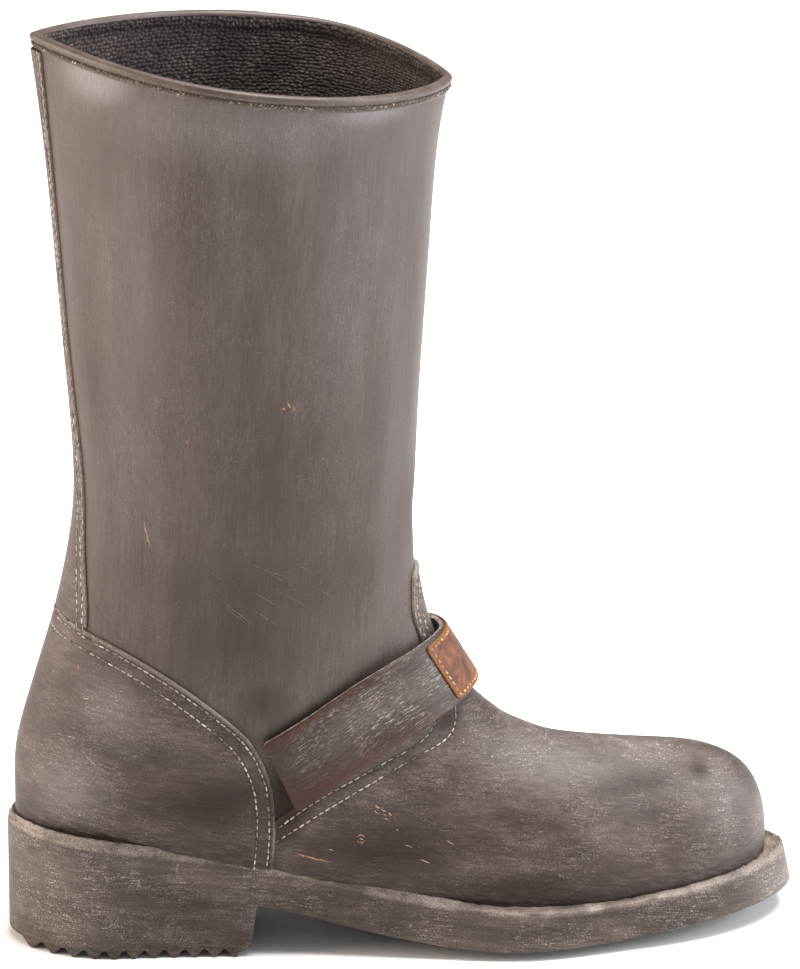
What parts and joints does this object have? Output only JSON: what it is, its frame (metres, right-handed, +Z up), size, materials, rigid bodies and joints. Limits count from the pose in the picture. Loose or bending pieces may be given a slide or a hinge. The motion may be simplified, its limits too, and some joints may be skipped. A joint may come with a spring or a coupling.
{
  "type": "rain boot",
  "caption": "Pull-on rubber rain boot in the engineer style: tall shaft, raised vamp and heel counter, instep strap with a leather patch, ridged heel and toe spring.",
  "frame": {"origin": "middle of the boot's bounding box on the floor", "axes": "+X to the toe, +Y to the inner (medial) side of the foot, +Z up"},
  "size_m": [0.2968, 0.1194, 0.3509],
  "materials": {
    "sole_rubber": "moulded rubber, dull, dark brown with pale brushed streaks",
    "shaft_rubber": "rubber made to look like worn leather, satin, brown under pale brushing",
    "panel_rubber": "rubber made to look like worn leather, satin, with stitched edges",
    "binding_rubber": "rolled rubber edge, satin",
    "strap_rubber": "grained rubber strap, satin, red-brown worn edges",
    "patch_leather": "tan leather, dull, darker field and stitched border",
    "sock_fabric": "dark charcoal knitted fabric"
  },
  "bodies": {
    "root": {"outsole": "sole_rubber", "upper": "shaft_rubber", "insole": "sock_fabric", "vamp": "panel_rubber", "heel_counter": "panel_rubber", "back_stay": "panel_rubber", "collar_binding": "binding_rubber", "strap": "strap_rubber", "strap_patch": "patch_leather"}
  },
  "joints": []
}
